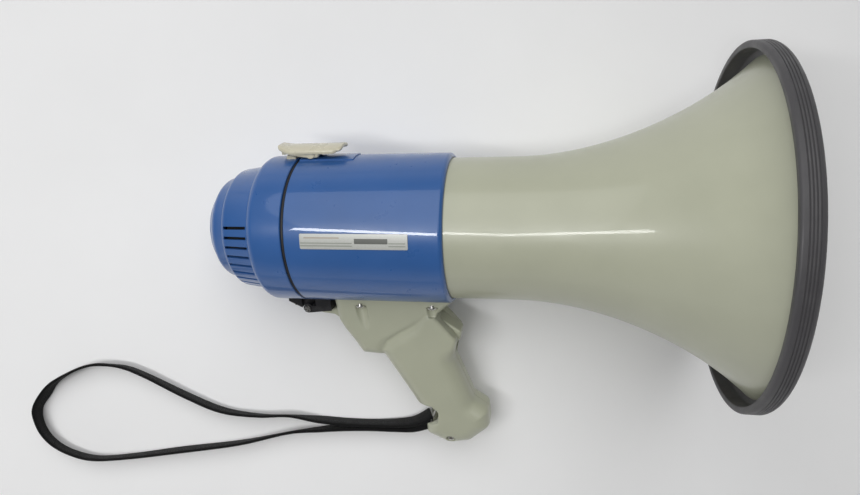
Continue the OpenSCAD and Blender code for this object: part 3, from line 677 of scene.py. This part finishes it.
def trigger_shape(points):
    """The trigger, with four grooves across its front for the finger."""
    flat = points[:, [0, 2]]
    lever = pillow(outline_distance(flat, trigger_outline), points[:, 1], 7, 1.6)
    for k in range(4):
        groove = np.hypot(flat[:, 0] + 189.2 + 1.3 * k, flat[:, 1] + 80 + 2.6 * k) - 0.7
        lever = smooth_max(lever, -groove, 0.5)
    return lever


mesh_piece("trigger_lever", *surface_net(trigger_shape, (-216, -8.2, -92), (-188, 8.2, -65), 0.55),
           "trigger_body", "grey_plastic", ["trigger"], 50)


# ---------------------------------------------------------------- screws
def screw_shape(points):
    """A pan head of radius 1 with a cross recess, its axis along x."""
    x, r = points[:, 0], np.hypot(points[:, 1], points[:, 2])
    dome = np.hypot(np.maximum(x + 0.55, 0), r * 0.92) - 1.2
    head = smooth_max(smooth_max(r - 1, -x, 0.06), dome, 0.12)
    for a, b in ((points[:, 1], points[:, 2]), (points[:, 2], points[:, 1])):
        wing = np.maximum(np.abs(a) - 0.13 - 0.05 * x, np.abs(b) - 0.30 - 0.40 * x)
        head = smooth_max(head, -np.maximum(wing, 0.2 - x), 0.03)
    return head


screw_verts, screw_faces = surface_net(screw_shape, (-0.1, -1.1, -1.1), (0.9, 1.1, 1.1), 0.045)


def screws(name, seats, radius, height, body, node):
    """Screw heads at seats of (point, outward direction, degrees that the recess is turned)."""
    parts = []
    for point, outward_dir, twist in seats:
        n = unit(np.array(outward_dir, float))
        u = unit(np.cross(n, (1, 0, 0) if abs(n[0]) < 0.9 else (0, 1, 0)))
        v = np.cross(n, u)
        a = math.radians(twist)
        turned = math.cos(a) * u + math.sin(a) * v
        parts.append((placed(screw_verts * [height, radius, radius], point, n, turned,
                             np.cross(n, turned)), screw_faces.tolist()))
        shank, faces = tube_mesh(radius * 0.55, -1.5, 0.05, 16)
        parts.append((placed(shank, point, n, u, v), outward(shank, faces)))
    mesh_piece(name, *joined(parts), body, "zinc_steel", [node], 40)


seats = []
for i, x in enumerate(POCKET_X):
    for side in (-1, 1):
        direction = (0, side * math.sin(POCKET_ANGLE), -math.cos(POCKET_ANGLE))
        seats.append((np.array([x, 0, 0]) + SEAT_R * np.array(direction), direction,
                      20 + 35 * i + 10 * side))
screws("bracket_screw_heads", seats, 3.4, 3.4, "megaphone", "handle_screws")
screws("grip_screw_heads", [((GRIP_SCREW[0], side * 12, GRIP_SCREW[1]), (0, side, 0), 35)
                            for side in (-1, 1)], 3, 2.9, "megaphone", "grip_screw")

# ---------------------------------------------------------------- latch
CROWN_R, CROWN_T = 24, 2.6
LATCH_TOP = BODY_R + 9.2
lever_front, lever_back = LATCH_X + 22, LATCH_X - 25
lever_plan = rounded([
    (lever_back, -7, 4.5), (lever_back + 9, -11, 12), (lever_front - 5, -11, 4),
    (lever_front, -7, 2.5), (lever_front, 7, 2.5), (lever_front - 5, 11, 4),
    (lever_back + 9, 11, 12), (lever_back, 7, 4.5)])
cheek_outline = rounded([
    (-306, 60.5, 1), (-303.5, 55.2, 2), (-288, 53.0, 3), (-283, 53.6, 1.5), (-281, 57.0, 1.5),
    (-266.5, 58.0, 1), (-266, 61, 1)])


def lever_shape(points):
    """The latch: a crowned plate with a finger dent, cheeks, pivot bosses and a hook."""
    x, y, z = points.T
    lift = 1.3 * ramp(-x, 304, 316)
    r = np.hypot(y, z - lift - (LATCH_TOP - CROWN_R))
    shell = np.abs(r - CROWN_R + CROWN_T / 2) - CROWN_T / 2
    plate = smooth_max(shell, outline_distance(points[:, :2], lever_plan), 1.0)
    dent = np.hypot((x + 309) / 1.5, y / 1.2) - 3.6
    plate = smooth_max(plate, -np.maximum(dent, LATCH_TOP - 0.35 + lift - z), 0.8)
    side = np.abs(y)
    cheek = pillow(outline_distance(points[:, [0, 2]], cheek_outline), side - 7.2, 2.2, 0.6)
    cheek = smooth_max(cheek, r - CROWN_R + 0.8, 0.5)
    pivot_boss = np.maximum(np.hypot(x - LATCH_X, z - LATCH_Z) - 3.1, np.abs(side - 8.2) - 2.1)
    hook = np.maximum(np.abs(x + 309.6) - 1.4, np.abs(y) - 4.5)
    hook = np.maximum(hook, np.maximum(BODY_R + 2.7 - z, z - LATCH_TOP + 2))
    shape = smooth_min(plate, cheek, 0.9)
    shape = smooth_min(shape, pivot_boss, 0.5)
    return np.minimum(shape, hook)


mesh_piece("latch_plate", *surface_net(lever_shape, (-319, -12, 52), (-264, 12, 66), 0.5),
           "latch", "cream_plastic", ["latch_lever"], 50)

# ---------------------------------------------------------------- name plate
plate_lo, plate_hi = span("name_plate")
PLATE_LEN, PLATE_W = float(plate_hi[0] - plate_lo[0]) - 1, 10.2
PLATE_ANGLE = math.radians(81)


def plate_shape(points):
    """The plate laid out flat, with rounded corners."""
    half = np.array([PLATE_LEN / 2, PLATE_W / 2])
    q = np.abs(points[:, :2]) - half + 0.8
    flat = np.hypot(*np.maximum(q, 0).T) + np.minimum(q.max(1), 0) - 0.8
    return smooth_max(flat, np.abs(points[:, 2] - 0.1) - 0.42, 0.15)


flat_verts, plate_faces = surface_net(plate_shape, (-PLATE_LEN / 2 - 1, -PLATE_W / 2 - 1, -1),
                                      (PLATE_LEN / 2 + 1, PLATE_W / 2 + 1, 1.5), 0.35, 2)
bend = PLATE_ANGLE - flat_verts[:, 1] / BODY_R
rise = BODY_R + flat_verts[:, 2]
plate_verts = np.stack([flat_verts[:, 0] + float(plate_lo[0] + plate_hi[0]) / 2,
                        -rise * np.sin(bend), rise * np.cos(bend)], 1)
plate = mesh_piece("marking_plate", plate_verts, plate_faces, "megaphone", "plate_silver",
                   ["name_plate"], 40)
layer = plate.data.uv_layers.new(name="plate")
corner_of = np.empty(len(plate.data.loops), int)
plate.data.loops.foreach_get("vertex_index", corner_of)
layer.data.foreach_set("uv", flat_verts[corner_of][:, :2].astype(np.float32).ravel())


# ---------------------------------------------------------------- volume knob
KNOB_X, KNOB_Z, KNOB_R, KNOB_H = -250, -78, 11, 9.5
FLUTES, FLUTE_DEPTH = 20, 0.55
knob_y = HALF_T + 0.4


def flutes(r, x, t):
    """The knob's radius, with grooves in its outer wall."""
    if r < KNOB_R - 1.4 or x < 1.6:
        return r
    return r - FLUTE_DEPTH * max(0.0, math.cos(FLUTES * t)) ** 3


knob_profile = [(0, -4), (2.9, -4), (2.9, 0), (10.4, 0), (11, 0.6), (11, 1.5), (10.9, 1.7),
                (10.9, 4.5), (10.8, KNOB_H - 1.2), (10.4, KNOB_H - 0.5), (9.6, KNOB_H),
                (8.4, KNOB_H), (7.9, KNOB_H - 0.5), (4, KNOB_H - 0.7), (0, KNOB_H - 0.7)]
verts, faces = lathe_mesh(knob_profile, 240, flutes)
pointer, pointer_faces = prism_mesh(rounded([(3, -0.6, 0.3), (9.8, -0.6, 0.3), (9.8, 0.6, 0.3),
                                             (3, 0.6, 0.3)], 3), -0.3, 0.3, 0.15)
pointer = placed(pointer, (KNOB_H - 0.45, 0, 0), (0, 1, 0), (1, 0, 0), (0, 0, 1))
knob_parts = joined([(verts, outward(verts, faces)), (pointer, outward(pointer, pointer_faces))])
mesh_piece("volume_dial", placed(knob_parts[0], (KNOB_X, knob_y, KNOB_Z), (0, 1, 0), (0, 0, 1),
                                 (1, 0, 0)), knob_parts[1],
           "knob", "black_plastic", ["volume_knob"], 35)


# ---------------------------------------------------------------- materials
def shaded(colour, k):
    """A colour made k times as light."""
    return tuple(min(1.0, c * k) for c in colour[:3]) + (1.0,)


class Nodes:
    """A material's node tree, with its shader's sockets set by name."""

    def __init__(self, name, **sockets):
        self.material = bpy.data.materials.new(name)
        self.material.use_nodes = True
        self.tree = self.material.node_tree
        self.tree.nodes.clear()
        out = self.add("ShaderNodeOutputMaterial")
        self.shader = self.add("ShaderNodeBsdfPrincipled")
        self.tree.links.new(self.shader.outputs[0], out.inputs[0])
        for socket, value in sockets.items():
            self.shader.inputs[socket.replace("_", " ")].default_value = value
        self.place = self.add("ShaderNodeTexCoord").outputs["Object"]

    def add(self, kind, **settings):
        node = self.tree.nodes.new(kind)
        for key, value in settings.items():
            setattr(node, key, value)
        return node

    def link(self, a, b):
        self.tree.links.new(a, b)

    def uv(self, layer):
        """The two coordinates of a UV layer."""
        parts = self.add("ShaderNodeSeparateXYZ")
        self.link(self.add("ShaderNodeUVMap", uv_map=layer).outputs[0], parts.inputs[0])
        return parts.outputs[0], parts.outputs[1]

    def stretched(self, scale, turn=(0, 0, 0)):
        """The object's coordinates, turned and scaled."""
        node = self.add("ShaderNodeMapping")
        self.link(self.place, node.inputs["Vector"])
        node.inputs["Rotation"].default_value = turn
        node.inputs["Scale"].default_value = scale
        return node.outputs[0]

    def noise(self, scale, detail=3, rough=0.55, place=None):
        node = self.add("ShaderNodeTexNoise")
        self.link(place or self.place, node.inputs["Vector"])
        node.inputs["Scale"].default_value = scale
        node.inputs["Detail"].default_value = detail
        node.inputs["Roughness"].default_value = rough
        return node.outputs["Fac"]

    def fit(self, value, low, high, to_low, to_high):
        """A value's range of low to high as to_low to to_high."""
        node = self.add("ShaderNodeMapRange")
        self.link(value, node.inputs["Value"])
        for key, number in (("From Min", low), ("From Max", high), ("To Min", to_low),
                            ("To Max", to_high)):
            node.inputs[key].default_value = number
        return node.outputs[0]

    def maths(self, operation, a, b):
        node = self.add("ShaderNodeMath", operation=operation)
        for i, value in enumerate((a, b)):
            if isinstance(value, (int, float)):
                node.inputs[i].default_value = value
            else:
                self.link(value, node.inputs[i])
        return node.outputs[0]

    def mix(self, share, a, b):
        node = self.add("ShaderNodeMix", data_type="RGBA")
        self.link(share, node.inputs[0])
        for i, value in ((6, a), (7, b)):
            if isinstance(value, tuple):
                node.inputs[i].default_value = value
            else:
                self.link(value, node.inputs[i])
        return node.outputs[2]

    def bump(self, height, distance, under=None):
        """A normal bumped by height times distance, on top of the one under it."""
        node = self.add("ShaderNodeBump")
        node.inputs["Strength"].default_value = 1.0
        node.inputs["Distance"].default_value = distance
        self.link(height, node.inputs["Height"])
        if under is not None:
            self.link(under, node.inputs["Normal"])
        return node.outputs[0]

    def edges(self, low, high):
        """How sharply the surface turns outwards, from 0 to 1."""
        return self.fit(self.add("ShaderNodeNewGeometry").outputs["Pointiness"], low, high, 0, 1)

    def finish(self, colour, roughness, normal=None):
        self.link(colour, self.shader.inputs["Base Color"])
        self.link(roughness, self.shader.inputs["Roughness"])
        if normal is not None:
            self.link(normal, self.shader.inputs["Normal"])
        return self.material


def moulded(name, colour, rough, cloud, peel, grain, worn=None, **sockets):
    """Moulded plastic or rubber: clouded colour, orange peel, fine grain, scuffs and worn edges."""
    m = Nodes(name, **sockets)
    tone = m.fit(m.noise(26, 4), 0.3, 0.7, 0, 1)
    base = m.mix(tone, shaded(colour, 1 - cloud), shaded(colour, 1 + cloud))
    speck = m.fit(m.noise(2600, 2), 0.66, 0.78, 0, 0.35)
    base = m.mix(speck, base, shaded(colour, 0.72))
    if worn is not None:
        patches = m.fit(m.noise(120, 5), 0.45, 0.65, 0, 1)
        rub = m.maths("MULTIPLY", m.edges(0.53, 0.6), patches)
        base = m.mix(m.maths("MULTIPLY", rub, 0.5), base, worn)
    smudge = m.fit(m.noise(45, 5, 0.65), 0.35, 0.7, rough * 0.85, rough * 1.25)
    normal = m.bump(m.noise(520, 2), peel)
    if grain:
        normal = m.bump(m.noise(3200, 3, 0.7), grain, normal)
    lengthwise = m.stretched((18, 900, 900), (0.4, 0.9, 0.6))
    scratch = m.fit(m.noise(1.0, 2, 0.5, lengthwise), 0.70, 0.76, 0, 1)
    rough_out = m.maths("ADD", smudge, m.maths("MULTIPLY", scratch, 0.16))
    return m.finish(base, rough_out, normal)


def metal(name, colour, rough, stretch=(1, 1, 1)):
    """Bare metal, brushed across the axis that has stretch's largest number, with stains."""
    m = Nodes(name, Metallic=1.0)
    brushed = m.noise(900, 4, 0.6, m.stretched(stretch))
    tone = m.mix(m.fit(brushed, 0.3, 0.7, 0, 1), shaded(colour, 0.8), shaded(colour, 1.1))
    stain = m.fit(m.noise(300, 5), 0.55, 0.75, 0, 0.4)
    tone = m.mix(stain, tone, shaded(colour, 0.45))
    return m.finish(tone, m.fit(brushed, 0.2, 0.8, rough * 0.7, rough * 1.4),
                    m.bump(brushed, 0.00001))


def webbing_material():
    """Black webbing woven in chevrons, with a little lint."""
    m = Nodes("webbing", Sheen_Weight=0.06, Sheen_Roughness=0.4, Specular_IOR_Level=0.15)
    across, along = m.uv("weave")
    per_yarn = TURN / 0.0011
    warp = m.maths("SINE", m.maths("MULTIPLY", across, per_yarn), 0)
    chevron = m.maths("ABSOLUTE", across, 0)
    weft = m.maths("SINE", m.maths("MULTIPLY", m.maths("ADD", along, chevron), per_yarn), 0)
    yarn = m.fit(m.maths("MULTIPLY", warp, weft), -1, 1, 0, 1)
    fibre = m.noise(5200, 3)
    tone = m.mix(yarn, (0.003, 0.003, 0.0032, 1), (0.011, 0.011, 0.0115, 1))
    lint = m.fit(m.noise(900, 4), 0.62, 0.75, 0, 0.25)
    tone = m.mix(lint, tone, (0.03, 0.03, 0.03, 1))
    normal = m.bump(fibre, 0.00004, m.bump(yarn, 0.00018))
    return m.finish(tone, m.fit(fibre, 0.3, 0.7, 0.6, 0.85), normal)


def plate_material():
    """Off-white foil with grey rules, a dark block and a fine brown rule printed on it."""
    m = Nodes("marking_foil", Metallic=0.1, Coat_Weight=0.25, Coat_Roughness=0.15)
    place = m.uv("plate")
    foil = m.noise(1800, 3)
    tone = m.mix(m.fit(foil, 0.3, 0.7, 0, 1), (0.46, 0.47, 0.44, 1), (0.54, 0.55, 0.52, 1))
    half = PLATE_LEN / 2
    rule, dark, brown = (0.27, 0.29, 0.25, 1), (0.075, 0.08, 0.07, 1), (0.36, 0.31, 0.25, 1)
    for centre, size, ink in (((-half / 2, -1.0), (half - 1, 0.7), rule),
                              ((-half / 2, -2.8), (half - 1, 0.7), rule),
                              ((half - 7, -1.0), (11, 0.7), rule),
                              ((half - 7, -2.8), (11, 0.7), rule),
                              ((half / 3, 0.3), (22, 3.4), dark),
                              ((-half / 2 - 3, 2.4), (half - 12, 0.9), brown)):
        block = None
        for i in (0, 1):
            off = m.maths("ABSOLUTE", m.maths("SUBTRACT", place[i], centre[i]), 0)
            inside = m.maths("LESS_THAN", off, size[i] / 2)
            block = inside if block is None else m.maths("MULTIPLY", block, inside)
        tone = m.mix(m.maths("MULTIPLY", block, 0.9), tone, ink)
    return m.finish(tone, m.fit(foil, 0.2, 0.8, 0.28, 0.42), m.bump(foil, 0.000006))


def cloth_material(name, colour, pitch):
    """A fine woven cloth or gauze."""
    m = Nodes(name, Sheen_Weight=0.2, Specular_IOR_Level=0.2)
    wave = [m.add("ShaderNodeTexWave", bands_direction=d) for d in ("X", "Y")]
    for node in wave:
        m.link(m.place, node.inputs["Vector"])
        node.inputs["Scale"].default_value = 1 / pitch
    weave = m.maths("MULTIPLY", wave[0].outputs["Fac"], wave[1].outputs["Fac"])
    tone = m.mix(weave, shaded(colour, 0.5), shaded(colour, 1.3))
    return m.finish(tone, m.fit(m.noise(500), 0.3, 0.7, 0.75, 0.95), m.bump(weave, 0.0001))


def board_material():
    """Green circuit board with a grid of paler tracks."""
    m = Nodes("circuit_board", Coat_Weight=0.4)
    bricks = m.add("ShaderNodeTexBrick")
    m.link(m.place, bricks.inputs["Vector"])
    bricks.inputs["Scale"].default_value = 120
    bricks.inputs["Mortar Size"].default_value = 0.03
    tone = m.mix(bricks.outputs["Fac"], (0.012, 0.07, 0.03, 1), (0.03, 0.13, 0.06, 1))
    return m.finish(tone, m.fit(m.noise(300), 0.3, 0.7, 0.35, 0.55),
                    m.bump(bricks.outputs["Fac"], 0.00005))


BLUE = (0.034, 0.112, 0.325, 1.0)
GREY = (0.44, 0.452, 0.345, 1.0)
CREAM = (0.60, 0.565, 0.43, 1.0)
MATERIALS = {
    "grey_plastic": moulded(
        "warm_grey_plastic", GREY, rough=0.34, cloud=0.03, peel=8e-6, grain=3e-6,
        Coat_Weight=0.25, Coat_Roughness=0.05),
    "blue_plastic": moulded(
        "blue_plastic", BLUE, rough=0.32, cloud=0.05, peel=8e-6, grain=2e-6,
        Specular_IOR_Level=0.35, Coat_Weight=0.5, Coat_Roughness=0.035),
    "cream_plastic": moulded(
        "cream_plastic", CREAM, rough=0.28, cloud=0.03, peel=1e-5, grain=3e-6,
        Coat_Weight=0.4, Coat_Roughness=0.06),
    "black_plastic": moulded(
        "black_plastic", (0.014, 0.014, 0.016, 1), rough=0.38, cloud=0.1, peel=1e-5, grain=8e-6,
        worn=(0.06, 0.06, 0.06, 1)),
    "guard_rubber": moulded(
        "guard_rubber", (0.068, 0.066, 0.07, 1), rough=0.44, cloud=0.1, peel=1e-5, grain=2e-5,
        worn=(0.11, 0.11, 0.11, 1), Specular_IOR_Level=0.4),
    "gasket_rubber": moulded(
        "gasket_rubber", (0.012, 0.012, 0.013, 1), rough=0.6, cloud=0.1, peel=1e-5, grain=1e-5),
    "zinc_steel": metal("zinc_steel", (0.70, 0.69, 0.66), rough=0.26, stretch=(1, 1, 3)),
    "ferrite": moulded(
        "ferrite", (0.035, 0.035, 0.038, 1), rough=0.65, cloud=0.15, peel=2e-5, grain=3e-5),
    "diaphragm_cloth": cloth_material("diaphragm_cloth", (0.3, 0.19, 0.1), pitch=0.0009),
    "copper_coil": metal("copper_coil", (0.75, 0.35, 0.2), rough=0.3, stretch=(60, 1, 1)),
    "brass_contact": metal("brass_contact", (0.78, 0.6, 0.28), rough=0.25),
    "circuit_board": board_material(),
    "cell_jacket": moulded(
        "cell_jacket", (0.4, 0.28, 0.05, 1), rough=0.3, cloud=0.06, peel=1.2e-5, grain=0),
    "screen_cloth": cloth_material("screen_cloth", (0.012, 0.012, 0.013), pitch=0.0008),
    "black_webbing": webbing_material(),
    "plate_silver": plate_material(),
}

# ---------------------------------------------------------------- every visible piece's material
SLOT_OF = {sub["node"]: sub["material_slot"] for sub in record["subparts"]}
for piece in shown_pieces():
    slot_name = piece.get("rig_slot") or SLOT_OF[piece.name]
    piece.data.materials.clear()
    piece.data.materials.append(MATERIALS[slot_name])

# ---------------------------------------------------------------- floor and light
FLOOR_HALF = 4
floor_mesh = bpy.data.meshes.new("floor")
corners = [(-FLOOR_HALF, -FLOOR_HALF, 0), (FLOOR_HALF, -FLOOR_HALF, 0),
           (FLOOR_HALF, FLOOR_HALF, 0), (-FLOOR_HALF, FLOOR_HALF, 0)]
floor_mesh.from_pydata(corners, [], [(0, 1, 2, 3)])
floor = linked("floor", floor_mesh)
paper = Nodes("floor_paper")
floor_mesh.materials.append(paper.finish(
    paper.mix(paper.fit(paper.noise(8, 4), 0.3, 0.7, 0, 1), (0.91, 0.91, 0.912, 1),
              (0.935, 0.935, 0.937, 1)),
    paper.fit(paper.noise(40, 3), 0.3, 0.7, 0.75, 0.9)))

# The backdrop is bright close to the horizon and falls off to a dim room above it.
GLOW_LOW, GLOW_HIGH = 0.05, 0.4
HORIZON, OVERHEAD = 0.7, 0.06
world = bpy.data.worlds.new("studio")
world.use_nodes = True
sky = world.node_tree
height = sky.nodes.new("ShaderNodeSeparateXYZ")
sky.links.new(sky.nodes.new("ShaderNodeTexCoord").outputs["Generated"], height.inputs[0])
fade = sky.nodes.new("ShaderNodeMapRange")
sky.links.new(height.outputs[2], fade.inputs["Value"])
for key, number in (("From Min", GLOW_LOW), ("From Max", GLOW_HIGH), ("To Min", HORIZON),
                    ("To Max", OVERHEAD)):
    fade.inputs[key].default_value = number
sky.nodes["Background"].inputs["Color"].default_value = (1, 1, 1, 1)
sky.links.new(fade.outputs[0], sky.nodes["Background"].inputs["Strength"])
bpy.context.scene.world = world


def area_light(name, place, aim, up, size, power):
    """A soft panel at place, facing aim, whose long side runs along up."""
    data = bpy.data.lights.new(name, "AREA")
    data.shape = "RECTANGLE"
    data.size, data.size_y = size
    data.energy = power
    light = linked(name, data)
    away = (Vector(place) - Vector(aim)).normalized()
    side = Vector(up).cross(away).normalized()
    turn = Matrix((side, away.cross(side), away)).transposed().to_4x4()
    light.matrix_world = Matrix.Translation(place) @ turn


area_light("key", place=(-0.3, 1.0, 2.3), aim=(0, 0, 0.05), up=(1, 0, 0), size=(3, 3), power=46)
area_light("strip", place=(-0.44, -0.137, 1.0), aim=(-0.07, 0.02, 0.118),
           up=(0.502, -0.166, 0.155), size=(0.06, 0.56), power=3.4)
